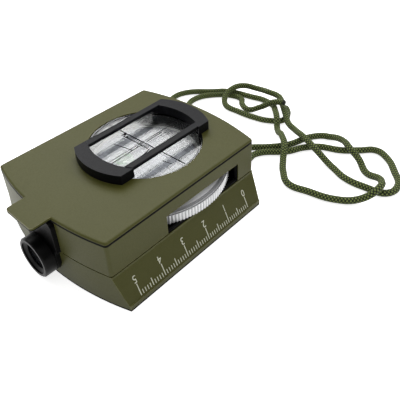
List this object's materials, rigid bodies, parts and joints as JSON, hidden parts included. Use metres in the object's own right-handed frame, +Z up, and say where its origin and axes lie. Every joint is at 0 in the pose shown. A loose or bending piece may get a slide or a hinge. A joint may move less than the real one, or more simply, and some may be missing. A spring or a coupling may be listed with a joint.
{
  "type": "magnetic box compass",
  "caption": "Box compass with a hinged sighting frame, turning azimuth ring, prism eyepiece, ruler bevels, underside inclinometer and a cord lanyard.",
  "frame": {"origin": "centre of the case's length and width, on the flat underside", "axes": "+X towards the ruler bevel that faces the viewer, +Y from the eyepiece along the line of sight to the lanyard lug, +Z up through the capsule"},
  "size_m": [0.1104, 0.1341, 0.0291],
  "materials": {
    "case_paint": "fine matt olive paint on die-cast alloy",
    "gasket_rubber": "matt black rubber",
    "screw_steel": "plain steel",
    "bearing_plastic": "unpolished low-friction plastic",
    "ring_metal": "satin turned alloy",
    "clear_cap": "polished clear",
    "brass": "turned brass",
    "level_green": "clear green spirit",
    "card_white": "matt white print ground",
    "magnet_steel": "dark magnet steel",
    "black_plastic": "polished black",
    "optical_glass": "polished optical glass",
    "frame_black": "satin black paint on alloy",
    "pendulum_red": "satin red paint",
    "lanyard_cord": "braided cord"
  },
  "bodies": {
    "case": {"upper_case": "case_paint", "base_shell": "case_paint", "case_gasket": "gasket_rubber", "case_screws": "screw_steel", "slip_ring": "bearing_plastic", "prism_housing": "black_plastic", "upper_prism": "optical_glass", "lower_prism": "optical_glass", "hinge_pin": "screw_steel", "clino_window": "clear_cap", "clino_ring": "black_plastic", "clino_dial": "card_white", "clino_pin": "screw_steel", "lanyard_long": "lanyard_cord", "lanyard_short": "lanyard_cord"},
    "azimuth": {"azimuth_ring": "ring_metal", "capsule_cup": "ring_metal", "capsule_cap": "clear_cap", "capsule_gasket": "gasket_rubber", "pivot_post": "brass", "level_vial": "clear_cap", "level_spirit": "level_green"},
    "card": {"compass_card": "card_white", "card_magnet": "magnet_steel", "jewel_cup": "brass"},
    "eyepiece": {"eyepiece_barrel": "black_plastic", "eyepiece_lens": "optical_glass", "lens_retainer": "black_plastic"},
    "sight": {"sight_frame": "frame_black", "sight_wire": "screw_steel"},
    "pendulum": {"clino_pendulum": "pendulum_red"}
  },
  "joints": [
    {"name": "azimuth_turn", "type": "hinge", "parent": "case", "child": "azimuth", "pos_m": [0, 0.00735, 0.0144], "axis": [0, 0, 1], "continuous": true},
    {"name": "card_float", "type": "hinge", "parent": "azimuth", "child": "card", "pos_m": [0, 0.00735, 0.0195], "axis": [0, 0, 1], "continuous": true},
    {"name": "eyepiece_focus", "type": "slide", "parent": "case", "child": "eyepiece", "axis": [0, -1, 0], "range_m": [0, 0.003]},
    {"name": "sight_fold", "type": "hinge", "parent": "case", "child": "sight", "pos_m": [0, 0.0287, 0.0272], "axis": [-1, 0, 0], "range_deg": [0, 90]},
    {"name": "pendulum_swing", "type": "hinge", "parent": "case", "child": "pendulum", "pos_m": [0, 0.00735, 0.0036], "axis": [0, 0, 1], "continuous": true}
  ]
}
